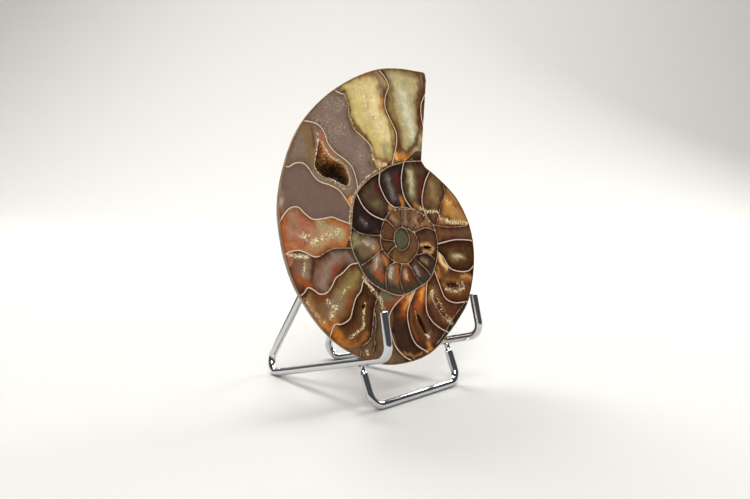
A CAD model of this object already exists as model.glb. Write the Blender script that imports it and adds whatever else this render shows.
"""Looks of the sawn ammonite half on its wire easel, as a Blender add-on.

The sawn face is one flat mesh. The lines of the shell walls and the chambers between them are hand-read
marks from the photograph, named in pixels and thrown onto the face through the photograph's camera. Each
chamber has a few named mineral colours, laid by the distance from its walls. The hollows are real pits
with real crystals, the back has the ribs and the navel of the shell, and the easel is round bent wire.
"""
import heapq
import math
import random

import bmesh
import bpy
import numpy as np
from bpy.props import FloatProperty, FloatVectorProperty, PointerProperty
from bpy.types import Operator, Panel, PropertyGroup
from mathutils import Euler, Matrix, Vector, noise
from mathutils.geometry import delaunay_2d_cdt


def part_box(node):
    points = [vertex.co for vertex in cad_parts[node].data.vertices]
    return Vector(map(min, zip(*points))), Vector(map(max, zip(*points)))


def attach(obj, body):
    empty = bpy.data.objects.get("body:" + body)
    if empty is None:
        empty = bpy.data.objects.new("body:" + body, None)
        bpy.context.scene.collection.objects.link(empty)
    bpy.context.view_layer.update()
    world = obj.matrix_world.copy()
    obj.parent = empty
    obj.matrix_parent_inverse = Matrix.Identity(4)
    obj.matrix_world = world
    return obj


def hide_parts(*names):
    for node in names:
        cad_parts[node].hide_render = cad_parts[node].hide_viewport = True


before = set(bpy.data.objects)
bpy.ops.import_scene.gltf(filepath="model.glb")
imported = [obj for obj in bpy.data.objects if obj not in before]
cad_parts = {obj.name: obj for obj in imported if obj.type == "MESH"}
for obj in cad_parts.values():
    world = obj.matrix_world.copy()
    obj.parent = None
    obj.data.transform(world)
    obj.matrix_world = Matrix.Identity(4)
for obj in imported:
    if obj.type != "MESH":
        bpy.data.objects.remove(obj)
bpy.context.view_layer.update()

bl_info = {
    "name": "Ammonite Half on an Easel",
    "version": (1, 0, 0),
    "blender": (4, 5, 0),
    "location": "3D Viewport > Sidebar > Ammonite",
    "description": "Builds the polished ammonite half, its crystals and its chromed wire easel",
    "category": "Object",
}

MM = 0.001
TURN = 2 * math.pi
FAR = 1e9

# The easel in its own frame, in millimetres: X across, Y to the back, Z up, rear bends at Y 0. Its wire's
# gauge and bends, its corners on one side, where the foot meets the arm, and how the whole is tipped.
WIRE = 3.0
BEND = 4.8
REAR = (16.5, 0.0, 1.5)
HOOK = (26.0, -75.5, 20.3)
PRONG = (25.5, -72.5, 35.5)
REST = (9.3, -37.0, 65.0)
FOOT = (24.1, -66.2, 1.5)
FOOT_AT = 0.8
NECK_LENGTH = 2.6
EASEL_TURN = math.radians(-2.5)

# The stone: the middle of its coil in the easel's frame, and how the sawn face stands.
COIL = (7.5, -54.0, 55.65)
LEAN_BACK = math.radians(9.8)
TURNED = math.radians(-4.0)

# The shell's coil: growth a radian, and the whorl's depth, shoulder and navel as shares of its radius.
GROWTH = 0.1286
PER_TURN_IN = math.exp(-GROWTH * TURN)
THICKNESS = 0.235
SHOULDER = 0.42
NAVEL = 0.255
NAVEL_SLOPE = 0.06
FLANK_SLOPE = 0.25
FLANK_POWER = 2.4
FLANK_ROUND = 0.62

# The least thickness of the stone, in millimetres.
LEAST_DEPTH = 0.4

# The ribs: how many a turn, their height in millimetres, their sweep, and where on the flank they fade.
RIBS = 26
RIB_HEIGHT = 0.55
RIB_SWEEP = 0.30
RIB_RISE = 0.2
RIB_END = 0.985
RIB_FALL = 0.12

# The mesh of the back: rows round the coil, stations across the flank and the navel, the navel's reach.
ROWS = 420
FLANK_STATIONS = 36
NAVEL_STATIONS = 26
NAVEL_GRID = 17.0

# The mesh of the face: spacing along the lines and room beside them, in millimetres; the grid's row
# spacing and random shift, as shares of its step; and the price of a way that crosses a wall.
LINE_STEP = 0.5
LINE_ROOM = 0.28
ROW_STEP = 0.866
SHIFT = 0.1
ACROSS_A_WALL = 400.0

# The rim of the sawn face round the coil's middle: degrees, and millimetres from the middle.
RIM = (
    (69.1, 66.9), (69.7, 68.7), (70.4, 69.5), (71.8, 69.1), (73.6, 68.5), (76.8, 67.7), (83.0, 66.5),
    (92.0, 64.9), (101.0, 63.1), (111.0, 61.7), (122.5, 60.9), (135.5, 60.4), (149.5, 59.2),
    (163.0, 58.4), (176.0, 56.8), (190.0, 55.1), (202.0, 53.1), (218.0, 51.0), (230.5, 49.0),
    (250.5, 46.3), (263.0, 44.6), (277.5, 43.3), (286.0, 42.2), (294.0, 41.1), (307.0, 40.6),
    (319.5, 41.0), (327.0, 40.5), (339.0, 40.1), (350.5, 39.8), (362.5, 39.1), (368.5, 38.5),
    (375.5, 37.5), (384.5, 36.3), (392.5, 34.9), (403.0, 33.4), (413.0, 32.7), (419.0, 32.6),
    (423.8, 33.8),
)

# The photograph's camera in the easel's frame, and where the photograph has the coil's middle.
PHOTO_SIZE = (750, 499)
CAMERA_AT = (-232.9, -256.0, 82.0)
CAMERA_TURN = math.radians(47.96)
CAMERA_DOWN = math.radians(5.33)
CAMERA_ROLL = math.radians(-0.59)
FOCAL_PIXELS = 845.9
COIL_IN_PHOTO = (7.55, -53.97, 56.03)

# The studio in metres: the cove's width, its wall's distance and bend, and the spot that the lights face.
FLOOR = 10.0
WALL_AT = 1.15
WALL_BEND = 0.5
AIM = (0, 0, 0.06)

# The studio's lights: their place and size in metres, and their power as a share of the key light's.
LIGHTS = {
    "key": ((-0.65, -0.55, 0.85), 0.5, 1.0),
    "side": ((0.85, 0.0, 0.5), 0.4, 0.4),
    "back": ((0.1, 0.7, 0.8), 0.5, 0.6),
}
BACKDROP_SHARE = 1.3

# Noise in the materials: bump size in millimetres, detail, roughness and distortion; then the span of the
# noise that counts, and what it becomes.
CALCITE_NOISE = {
    "cloud": (3.2, 4.0, 0.6, 0.8, 0.3, 0.7, 0.86, 1.14),
    "fine": (0.7, 4.0, 0.7, 0.0, 0.3, 0.7, 0.9, 1.1),
    "speck": (0.35, 1.0, 0.5, 0.0, 0.56, 0.66, 0.0, 0.85),
    "patchy": (9.0, 2.0, 0.55, 0.0, 0.38, 0.62, 0.05, 1.0),
    "pit": (0.5, 1.0, 0.5, 0.0, 0.27, 0.33, 0.8, 0.0),
    "uneven": (0.55, 2.0, 0.55, 0.0, 0.3, 0.7, 0.75, 1.3),
    "even": (1.2, 2.0, 0.55, 0.0, 0.3, 0.7, 0.85, 1.15),
    "broken": (1.4, 2.0, 0.55, 0.0, 0.35, 0.6, 0.25, 0.85),
    "beads": (0.6, 2.0, 0.8, 0.0, 0.36, 0.62, 0.0, 1.0),
}
SHELL_NOISE = {
    "patch": (16.0, 4.0, 0.55, 0.5, 0.35, 0.65, 0.0, 1.0),
    "pearl": (11.0, 3.0, 0.5, 0.8, 0.52, 0.68, 0.0, 0.55),
    "crust": (2.5, 5.0, 0.7, 0.0, 0.58, 0.66, 0.0, 0.45),
}

# The shell's walls on the sawn face, in pixels of the photograph: the coil's spiral walls, then the
# chambers' walls, then the walls that are fainter or only seams in the mineral.
SPIRAL_WALLS = {
    "outer": ((421, 160), (412, 160.3), (405, 160.5), (400, 162), (390, 165), (380, 171), (370, 177),
            (360, 187), (355, 196), (352.5, 208), (351.5, 226), (350.5, 238), (353, 250), (358, 261),
            (366, 276), (378, 286), (393, 293), (404, 294), (416, 288), (427, 281), (433, 272),
            (437, 258), (437.5, 250)),
    "middle": ((437.5, 250), (437.5, 242), (435, 229), (428, 217), (415, 209), (402, 206), (393, 208),
            (385, 218), (381, 230), (381, 243), (386, 253), (396, 261), (408, 262), (417, 252)),
    "inner": ((417, 252), (418.5, 244), (416, 235), (410, 229), (401, 226.6), (395.5, 231), (394.3, 239),
            (397, 246.5), (402, 249.5), (407.5, 246), (409.5, 239), (408, 232), (404.5, 227.5),
            (401, 226.6)),
}
SEPTA = {
    "s01": ((425.5, 93), (421.5, 102), (421, 113), (423, 124), (423.5, 128)),
    "s02": ((379, 69.5), (384, 75), (388.5, 85), (385.5, 95), (385, 105), (389, 116), (396, 131),
            (396.5, 143), (394, 155), (393, 160), (392, 164)),
    "s03a": ((333, 88), (341, 92.5), (344, 92.5)),
    "s03b": ((357, 131), (364, 137), (370, 144), (372.5, 150)),
    "s04": ((302, 119.5), (310, 120.5), (319, 124), (324.5, 132), (328, 142), (335, 151), (345, 158.5),
            (352, 166), (356, 177), (358, 189)),
    "s05": ((285, 165), (289, 165.5), (295, 162), (303, 162), (309, 167.5), (314, 175), (320, 180.5),
            (330, 184), (339, 189), (346, 198), (352, 208)),
    "s06": ((279.3, 222), (283.5, 214), (290, 207), (298, 206), (305, 212.5), (313, 218), (323, 217.5),
            (332, 216), (340, 219), (351.5, 223)),
    "s07": ((283, 255), (290, 250.5), (299, 249.3), (307, 252), (314, 255.5), (320, 255)),
    "s08": ((299, 295.5), (304, 292), (308, 286.5), (314, 289), (320, 293), (327, 291.5), (332, 285),
            (336, 277), (343, 271.5), (351, 263.5), (359, 262)),
    "s09": ((329.5, 338), (331.5, 331), (335, 323.5), (342, 323), (350, 317.5), (353, 307), (356, 297),
            (361, 289.5), (363, 281), (366.5, 276)),
    "s11": ((405, 294), (396, 303), (390, 313), (390, 326), (395, 344), (404, 355), (411, 359)),
    "s12": ((416, 288), (410, 302), (407.5, 315), (411, 333), (417, 344), (428, 351)),
    "s13": ((427, 281), (426, 300), (427.5, 312), (433, 321), (441, 327.5), (450, 332)),
    "s14": ((434, 268), (439, 282), (445, 296.5), (454, 301.5), (464, 301), (469, 300)),
    "s15": ((437, 250), (443, 256), (450, 267), (460, 270.5), (469, 269.5), (474, 264)),
    "s16": ((437.5, 243), (443, 241.5), (455, 238.8), (468, 239), (472, 240)),
    "s19": ((430, 170), (425, 181), (422, 198), (424, 209), (427, 216)),
    "s20": ((404, 160), (401.3, 178), (404, 195), (411, 206.5), (415, 208.5)),
    "s21": ((380, 171), (379.5, 183), (386, 198), (393, 205.5), (398, 206.5)),
    "s22": ((357, 193), (363, 205), (371, 213), (380, 217.5), (385, 219)),
}
FAINT_SEPTA = {
    "s03": ((344, 92.5), (348, 103), (349, 114), (353.5, 127), (357, 131)),
    "s03c": ((372.5, 150), (373, 154), (372, 163), (378, 171)),
    "s07b": ((320, 255), (326, 251), (332, 248), (338, 247), (352, 247)),
    "s10": ((360, 357), (362, 346), (368, 341), (371.5, 335), (373, 324), (374, 311), (377, 298),
            (383, 288)),
    "s10b": ((371, 357), (375, 343), (374.5, 338), (376, 322), (375, 312)),
    "s17": ((434, 224), (447, 226), (455, 226), (466, 225)),
    "s18": ((443, 184), (445, 193), (440.5, 205), (437, 222)),
    "s23": ((352, 226), (360, 232), (376, 234.5), (381, 234)),
    "i01": ((362, 264), (371, 258), (382, 248)),
    "i02": ((387, 290), (386, 280), (387, 267), (396, 261)),
    "i03": ((405, 294), (400, 278), (402, 262.5)),
    "i04": ((423, 284), (416, 276), (411, 267), (408, 262)),
    "i05": ((431, 275), (426, 268), (415, 258)),
    "i06": ((435, 258), (430, 254), (425, 252), (417, 254)),
    "i07": ((435, 230), (430, 227.5), (424, 227), (413, 232)),
    "i08": ((402, 206.5), (402, 226)),
    "i09": ((409, 207), (409, 228)),
    "i10": ((381, 236), (384, 238.5), (394.5, 240)),
    "i11": ((388, 253), (393, 247), (396.5, 245)),
    "i12": ((385, 218), (391, 223), (397, 230)),
    "i13": ((424, 214), (419, 221), (413, 231)),
    "chip": ((436, 344), (444, 333), (452, 319), (459, 309), (466, 300)),
}

# The chambers: a point inside in pixels, the colour at the walls, the main colour, the colour further
# in, that colour's distance from the walls in millimetres, and how much mud grain shows.
CHAMBERS = {
    "a": ((405, 112), "48260f", "83653a", "b0a274", 3.2, 0.1),
    "b": ((365, 100), "5e3a1a", "b09a5e", "ccb87c", 2.6, 0.1),
    "c": ((336, 112), "66503f", "7a6458", "806a5e", 3.0, 1.0),
    "d": ((300, 145), "6a5443", "7c6858", "7e6a5a", 4.0, 0.6),
    "e": ((305, 190), "6a5346", "705a4f", "735c50", 3.0, 0.5),
    "f": ((297, 235), "7c4426", "a06448", "a87a5c", 3.2, 0.0),
    "g": ((318, 272), "3a2014", "66422e", "7c5a46", 3.2, 0.0),
    "h": ((340, 298), "48260f", "64401f", "745434", 2.6, 0.0),
    "i": ((360, 320), "2c170b", "4a2c18", "5e3e20", 3.4, 0.0),
    "j": ((368, 349), "4a3420", "6a4e34", "6e523a", 1.4, 0.2),
    "k": ((383, 335), "3c2818", "5a4632", "624e38", 2.0, 0.3),
    "l": ((400, 330), "22110a", "301c14", "3a261c", 2.0, 0.0),
    "m": ((420, 322), "30180c", "48281a", "56341e", 2.4, 0.0),
    "n": ((433, 300), "34190c", "4c2a18", "5c3a24", 2.4, 0.0),
    "o": ((455, 292), "3a1c0e", "5a3218", "643c20", 2.4, 0.0),
    "p": ((460, 255), "2a160c", "3c200e", "4c3014", 2.3, 0.0),
    "q": ((455, 232), "3c1e12", "5e3828", "6c4634", 2.0, 0.0),
    "r": ((452, 212), "5a3014", "8c602e", "a47440", 2.0, 0.2),
    "t": ((434, 195), "40240f", "543a20", "6a4e32", 1.8, 0.1),
    "u": ((412, 183), "2a170f", "3c241a", "4e3a2a", 2.2, 0.0),
    "v": ((391, 187), "20120d", "30201a", "3c2c26", 2.2, 0.0),
    "w": ((370, 196), "20120d", "402a20", "50402f", 2.4, 0.0),
    "x": ((364, 222), "1a100d", "261a17", "2e2220", 2.4, 0.0),
    "y1": ((366, 246), "30200f", "54402a", "6c5640", 1.6, 0.1),
    "y2": ((376, 266), "34190c", "5c3824", "76543e", 1.6, 0.0),
    "y3": ((394, 277), "34190c", "5c3a26", "74543e", 1.4, 0.0),
    "y4": ((408, 279), "30180c", "54301c", "6a3c20", 1.4, 0.0),
    "y5": ((419, 271), "30180e", "44281e", "523628", 1.3, 0.0),
    "y6": ((428, 262), "2a170d", "362218", "42301c", 1.3, 0.0),
    "y7": ((425, 238), "2c170d", "42281a", "583c26", 1.4, 0.0),
    "y8": ((424, 222), "3a2010", "7a5030", "8a6440", 1.3, 0.2),
    "y9": ((405, 216), "34200f", "6c4c34", "7e6048", 1.2, 0.2),
    "y10": ((393, 216), "38200f", "5e3e26", "6e4c30", 1.2, 0.2),
    "y11": ((387, 231), "301a0e", "523420", "5c3e28", 1.2, 0.1),
    "y12": ((388, 246), "28150b", "4a301e", "5e402a", 1.2, 0.1),
    "y13": ((404, 256), "3a2010", "5c3c24", "6a4a2e", 1.2, 0.1),
    "y14": ((402, 238), "302e1e", "444230", "56523c", 1.0, 0.0),
}

# Glows and stains in the mineral: the chamber, or none for all; a line in pixels; its half width in
# pixels; a colour; and its strength.
STAINS = (
    ("a", ((396, 80), (401, 98), (408, 116), (413, 128)), 9.5, "b8ac80", 0.85),
    ("a", ((402, 92), (406, 108), (411, 124), (413, 136)), 5.0, "d2ccae", 0.8),
    ("a", ((392, 88), (393, 106), (399, 124)), 2.6, "7a5c24", 0.7),
    ("a", ((418, 74), (421, 88), (417, 100)), 4.5, "56301c", 0.85),
    ("a", ((423.5, 73), (424.5, 88), (423, 101)), 2.8, "4a2818", 0.9),
    ("a", ((419, 108), (419, 126), (416, 142), (408, 152)), 3.4, "4e2412", 0.9),
    ("a", ((396, 136), (399, 146), (405, 151)), 3.0, "5a2c14", 0.85),
    ("a", ((396, 155), (402, 157), (412, 158)), 3.4, "c87a30", 0.95),
    ("a", ((395, 152), (397, 158)), 1.8, "f4b868", 0.9),
    ("a", ((421, 143), (419, 152), (416, 158)), 2.6, "716c50", 0.9),
    ("b", ((374, 72), (382, 84), (381, 92)), 5.0, "6e5648", 0.85),
    ("b", ((360, 76), (372, 72)), 2.6, "8a4c2c", 0.8),
    ("b", ((384, 88), (384, 98)), 2.4, "4c2018", 0.9),
    ("b", ((380, 94), (381, 108)), 3.0, "b0682c", 0.8),
    ("b", ((384, 104), (390, 126), (393, 146)), 2.0, "6e4018", 0.75),
    ("b", ((352, 92), (358, 118), (372, 134), (378, 150)), 5.0, "c8b26c", 0.6),
    ("b", ((370, 90), (376, 112), (384, 132)), 7.5, "e4cf94", 0.85),
    ("b", ((352, 118), (362, 132), (370, 142)), 2.2, "6a3a14", 0.85),
    ("b", ((364, 95), (365.5, 103)), 1.5, "f4dcae", 0.9),
    ("b", ((369.5, 113), (374, 117)), 1.3, "d89858", 0.85),
    ("b", ((375, 118), (378.5, 124)), 1.9, "f8e0b0", 0.95),
    ("b", ((384, 146), (386, 156)), 5.0, "8a7a5a", 0.7),
    ("b", ((376, 158), (386, 160)), 3.6, "7a3c1c", 0.8),
    ("c", ((345, 96), (348, 112), (352, 126)), 3.2, "66463e", 0.6),
    ("d", ((305, 126), (309, 140), (311, 156)), 5.0, "7a5c28", 0.75),
    ("d", ((312, 128), (314, 146)), 1.6, "4a3018", 0.7),
    ("d", ((321, 133), (326, 145), (334, 154)), 3.4, "a4664a", 0.8),
    ("d", ((336, 156), (346, 166), (352, 180)), 3.0, "8a7058", 0.7),
    ("d", ((313, 170), (322, 180), (336, 186), (348, 190)), 3.0, "8a745c", 0.75),
    ("e", ((279.5, 172), (278.5, 200), (279.5, 216)), 2.6, "c4b49a", 0.95),
    ("e", ((346, 192), (351, 199)), 4.0, "e0883c", 0.95),
    ("f", ((292, 212), (297, 224)), 7.0, "947058", 0.8),
    ("f", ((302, 222), (308, 236), (300, 246)), 6.0, "9c5844", 0.7),
    ("f", ((322, 224), (332, 230), (340, 236)), 7.5, "a8966a", 0.9),
    ("f", ((312, 246), (324, 240)), 4.5, "a88c5a", 0.8),
    ("f", ((284, 218), (284, 236), (288, 250)), 2.6, "a85a28", 0.85),
    ("f", ((326, 219), (336, 221), (347, 228), (348, 242)), 2.0, "a8662c", 0.8),
    ("f", ((332, 245), (346, 243)), 2.4, "b06a30", 0.8),
    ("f", ((292, 244), (304, 250), (312, 253)), 2.2, "b07a44", 0.8),
    ("g", ((336, 254), (346, 253), (351, 260)), 3.6, "7e6c5c", 0.8),
    ("g", ((334, 260), (326, 272), (322, 284)), 6.5, "8c7262", 0.9),
    ("g", ((308, 264), (304, 276)), 4.0, "86705c", 0.85),
    ("g", ((314, 262), (312, 278)), 2.2, "3a2014", 0.85),
    ("g", ((298, 276), (304, 283), (311, 285)), 3.2, "9a4e24", 0.85),
    ("g", ((338, 266), (333, 275)), 3.0, "8a3c1e", 0.8),
    ("g", ((290, 254), (308, 256)), 2.6, "8a7a5c", 0.85),
    ("h", ((356, 275), (347, 285), (340, 297)), 6.0, "8c7848", 0.9),
    ("h", ((338, 300), (332, 312)), 6.0, "8a765c", 0.85),
    ("h", ((320, 294), (328, 294)), 3.2, "7a3c1c", 0.8),
    ("h", ((351, 292), (348, 304)), 3.0, "8a4a28", 0.8),
    ("h", ((306, 300), (314, 312), (322, 322)), 5.0, "a47a4c", 0.85),
    ("h", ((322, 324), (330, 328), (336, 321)), 4.0, "b87038", 0.85),
    ("h", ((318, 299), (330, 300)), 3.0, "6a3c1e", 0.7),
    ("i", ((364, 300), (365, 318), (356, 332)), 4.0, "64421e", 0.7),
    ("i", ((333, 328), (343, 341), (356, 350)), 5.0, "b06c2c", 0.85),
    ("i", ((358, 343), (367, 334)), 3.0, "96602c", 0.75),
    ("i", ((366, 288), (369, 296)), 3.2, "30220f", 0.8),
    ("k", ((372, 284), (382, 296), (396, 299)), 4.4, "6e6648", 0.85),
    ("k", ((386, 306), (394, 300), (402, 296)), 2.6, "8a4424", 0.85),
    ("k", ((386, 350), (390, 358)), 4.2, "8a6238", 0.75),
    ("l", ((402, 300), (403, 314)), 4.6, "9c4c20", 0.85),
    ("l", ((407, 297), (406, 306)), 3.0, "d88a3c", 0.9),
    ("l", ((412, 291), (410, 300)), 2.4, "f4c880", 0.95),
    ("l", ((392, 306), (391, 330), (397, 348), (405, 356)), 1.5, "8a5c2c", 0.6),
    ("l", ((404, 351), (414, 356), (424, 352)), 1.6, "a07840", 0.7),
    ("m", ((422, 288), (418, 306)), 5.0, "a85420", 0.85),
    ("m", ((424, 287), (421, 298)), 2.8, "e8943c", 0.9),
    ("m", ((411, 306), (411, 322), (417, 338)), 1.4, "8c5020", 0.6),
    ("m", ((417, 310), (420, 322), (427, 334)), 3.4, "7c4c24", 0.85),
    ("m", ((428, 342), (432, 347), (427, 350)), 2.2, "c08040", 0.85),
    ("n", ((430, 286), (429, 300)), 2.0, "8c5424", 0.8),
    ("n", ((434, 290), (442, 306), (448, 318)), 4.6, "7a5a30", 0.75),
    ("n", ((455, 306), (452, 318)), 3.0, "6a3018", 0.7),
    ("n", ((432, 294), (435, 301)), 3.0, "9c8058", 0.85),
    ("n", ((445, 314), (450, 321)), 3.0, "b09468", 0.8),
    ("o", ((437, 268), (440, 276)), 2.6, "b06c30", 0.9),
    ("o", ((446, 278), (459, 280), (460, 290), (448, 291), (444, 284)), 2.4, "8a6430", 0.8),
    ("o", ((462, 276), (470, 276)), 3.0, "c08a4c", 0.9),
    ("p", ((452, 250), (449, 256), (456, 261)), 2.4, "6e4e20", 0.6),
    ("p", ((453, 255), (463, 256)), 3.4, "8c7a50", 0.85),
    ("p", ((454, 255), (461, 255.5)), 2.4, "b4a88c", 0.9),
    ("o", ((439, 254), (442, 261), (447, 268)), 2.4, "f8cc88", 0.95),
    ("q", ((462, 232), (470, 232)), 4.0, "5e4c28", 0.8),
    ("q", ((440, 226), (439, 238)), 2.6, "7a4420", 0.7),
    ("r", ((446, 200), (452, 212)), 4.4, "c88c44", 0.8),
    ("r", ((448, 194), (456, 206)), 2.6, "8a5426", 0.8),
    ("r", ((442, 214), (450, 218)), 2.4, "5a2e14", 0.8),
    ("r", ((456, 212), (462, 220)), 3.0, "b88448", 0.8),
    ("r", ((459, 203), (463, 211)), 2.6, "6e3e18", 0.8),
    ("r", ((447, 203), (451, 200)), 2.2, "d8a050", 0.8),
    ("t", ((432, 184), (434, 198)), 4.6, "94784e", 0.8),
    ("t", ((428, 206), (430, 212)), 3.0, "3e2412", 0.7),
    ("u", ((411, 170), (411, 182), (412, 194)), 5.0, "7c7048", 0.85),
    ("u", ((410, 172), (411, 182), (412, 191)), 3.2, "bcb08a", 0.95),
    ("u", ((420, 176), (420, 194)), 2.6, "5c2418", 0.9),
    ("u", ((415, 204), (422, 208)), 2.4, "a8783c", 0.8),
    ("v", ((388, 177), (390, 187), (394, 196)), 3.2, "6c6660", 0.85),
    ("v", ((396, 174), (397, 186)), 2.8, "542016", 0.85),
    ("v", ((402, 199), (403, 204)), 2.6, "b8743a", 0.9),
    ("w", ((377, 186), (379, 192)), 3.0, "4e1e14", 0.85),
    ("w", ((374, 202), (379, 203)), 2.4, "6e6440", 0.8),
    ("w", ((390, 207), (394, 210)), 2.4, "c88a4c", 0.9),
    ("x", ((361, 218), (366, 224)), 2.0, "5c5450", 0.7),
    ("x", ((376, 230), (380, 232)), 2.0, "5a2c1c", 0.6),
    ("y1", ((354, 236), (358, 240), (354, 245)), 3.4, "87825a", 0.9),
    ("y1", ((367, 240), (374, 246)), 4.2, "94826a", 0.85),
    ("y1", ((378, 246), (376, 253)), 2.0, "a85c28", 0.8),
    ("y2", ((377, 256), (376, 266)), 3.8, "a08872", 0.9),
    ("y2", ((378, 273), (383, 277)), 2.8, "a04c20", 0.9),
    ("y2", ((384, 256), (386, 262)), 2.2, "c07c3c", 0.8),
    ("y3", ((391, 267), (391, 276)), 3.0, "b4a88e", 0.9),
    ("y3", ((397, 264), (397, 280)), 2.0, "a85c26", 0.9),
    ("y4", ((405, 271), (406, 277)), 2.4, "cc9674", 0.9),
    ("y4", ((403, 263), (409, 264)), 1.6, "d88c48", 0.85),
    ("y5", ((415, 267), (419, 274)), 2.4, "8a8078", 0.9),
    ("y6", ((422, 259), (427, 261)), 2.0, "8a7458", 0.85),
    ("y7", ((421, 244), (428, 243), (433, 247), (431, 251), (424, 250)), 1.9, "c88c58", 0.9),
    ("y7", ((418, 232), (426, 231)), 2.0, "2c170d", 0.6),
    ("y8", ((415, 218), (418, 226)), 2.6, "9c7e62", 0.8),
    ("y8", ((430, 216), (434, 222)), 2.0, "b06c38", 0.7),
    ("y9", ((405, 216), (405, 222)), 2.0, "8a7058", 0.7),
    ("y10", ((392, 216), (396, 220)), 2.6, "947a60", 0.8),
    ("y13", ((388, 252), (396, 259), (408, 259)), 2.0, "8a6238", 0.6),
    ("", ((355, 250), (360, 261), (367, 272), (383, 285.5), (402, 289), (420, 283), (433, 268)), 3.7,
     "34342c", 0.97),
    ("", ((467.5, 303), (460.5, 312), (454, 322), (446.5, 333), (439, 344)), 2.6, "24241a", 0.97),
)

# Sugary crystals in the mineral: a line in pixels, its half width in pixels, and how dense they are.
SUGAR = (
    (((344, 92), (348, 103), (349, 114), (353.5, 127), (357, 131)), 1.6, 0.7),
    (((372, 148), (373, 158), (378, 164), (386, 163)), 2.6, 0.75),
    (((386, 163), (398, 160), (412, 158)), 1.4, 0.45),
    (((364, 94), (366, 104)), 2.2, 0.95),
    (((369, 112), (374, 117), (379, 124)), 2.6, 0.98),
    (((380, 168), (368, 175), (358, 187), (352, 197), (350.5, 210), (350, 236), (352, 248)), 2.2, 0.62),
    (((317, 131), (318, 141)), 1.6, 0.9),
    (((322, 178), (335, 181), (344, 187), (351, 187)), 2.4, 0.5),
    (((328, 153), (336, 158), (345, 164)), 2.4, 0.5),
    (((303, 234), (314, 241), (326, 236), (339, 230)), 5.0, 0.7),
    (((288, 254), (308, 256)), 2.6, 0.75),
    (((305, 262), (303, 275)), 2.4, 0.6),
    (((328, 301), (337, 306), (331, 315)), 5.5, 0.62),
    (((348, 285), (340, 297)), 3.0, 0.55),
    (((305, 299), (313, 311), (324, 322)), 4.0, 0.5),
    (((365, 302), (363.5, 312), (364, 325), (357, 332), (350, 337)), 1.8, 0.95),
    (((364, 277), (372, 288), (381, 299), (383, 308)), 3.2, 0.75),
    (((432, 291), (435, 300), (443, 312), (451, 321)), 3.4, 0.95),
    (((415, 311), (417, 317)), 1.6, 0.7),
    (((426, 333), (429, 337)), 1.8, 0.9),
    (((446, 288), (456, 290), (464, 287), (462, 281)), 3.0, 0.66),
    (((440, 218), (452, 221), (467, 222)), 3.2, 0.75),
    (((446, 198), (456, 210)), 3.4, 0.5),
    (((420, 207), (428, 211), (437, 210), (440, 216)), 2.4, 0.7),
    (((454, 255), (462, 255.5)), 2.4, 0.6),
    (((406, 271), (408, 279)), 1.8, 0.55),
    (((411, 172), (411, 190)), 2.2, 0.5),
    (((389, 178), (394, 196)), 2.0, 0.4),
    (((362, 219), (368, 224)), 1.6, 0.5),
    (((436, 190), (440, 202)), 3.0, 0.4),
    (((364, 240), (374, 247)), 3.6, 0.6),
    (((377, 256), (376, 268)), 2.6, 0.55),
    (((391, 268), (391, 278)), 2.2, 0.6),
    (((388, 212), (396, 208), (410, 208), (424, 214), (433, 224)), 1.6, 0.55),
    (((421, 244), (428, 243), (433, 247), (431, 251), (424, 250)), 1.5, 0.55),
    (((414, 218), (420, 226)), 2.2, 0.4),
    (((384, 222), (382, 240), (388, 254), (398, 262)), 1.2, 0.4),
    (((430, 290), (434, 284)), 1.4, 0.4),
    (((367, 350), (368, 353)), 2.0, 0.8),
)

# A druse of more crystals than this is the large one, with a cream rim and orange depths.
LARGE_DRUSE = 300

# How a hollow narrows: the share of its outline, and the share of its depth where that is.
HOLLOW_LEVELS = (
    (1.0, 0.0), (1.02, 0.10), (1.0, 0.25), (0.95, 0.45), (0.85, 0.65), (0.68, 0.82), (0.45, 0.93), (0.2, 1.0))
ROCK_BUMP = 0.35
EDGE_BUMP = 0.28

# The crystals: their length in millimetres, their width as a share of it, and how unevenly they lean.
CRYSTAL_LENGTH = (0.3, 0.8)
CRYSTAL_WIDTH = (0.26, 0.42)
CRYSTAL_LEAN = 0.35

# The wire's cut ends and the neck of weld, in millimetres: height from the leg's end, and radius.
CUT_LENGTH = 0.25
CUT_SHARE = 0.84
WELD_START = 0.9
WELD = ((0.0, 0.9), (0.5, 1.35), (0.95, 1.32), (1.3, 1.08), (2.0, 0.98), (2.7, 1.0), (3.2, 1.15), (3.8, 1.3))
WELD_SIDES = 24

# The open hollows: an outline in pixels, or an oval in millimetres on the face (across, up, half
# length, half width, turn in degrees); then the depth in millimetres and the number of crystals.
HOLLOWS = {
    "main_hollow": (
        ((319, 140), (317, 150), (315.5, 158), (315, 165), (318, 171), (326, 176.5), (334, 178.5), (344, 184),
         (349, 183), (350, 177), (346, 166), (340, 161), (332, 157), (327, 150), (322, 141)), 7.2, 900),
    "lower_hollow": ((15.4, -26.4, 6.2, 2.1, -57), 3.8, 170),
    "side_hollow": ((24.5, -18.9, 4.6, 1.7, -14), 3.4, 90),
    "slit": ((3.6, -31.5, 4.6, 1.15, -64), 3.0, 0),
    "navel_slit": ((12.1, -3.1, 2.4, 0.6, -7), 1.6, 0),
    "ring_hole": ((-24.6, -21.4, 1.1, 0.75, 60), 2.0, 0),
}


def hex_colour(code):
    """A colour written as in a paint program, as the linear light that Blender uses."""
    parts = [int(code[i:i + 2], 16) / 255 for i in (0, 2, 4)]
    return tuple(p / 12.92 if p <= 0.04045 else ((p + 0.055) / 1.055) ** 2.4 for p in parts)


# The photograph's camera and the sawn face

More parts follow.
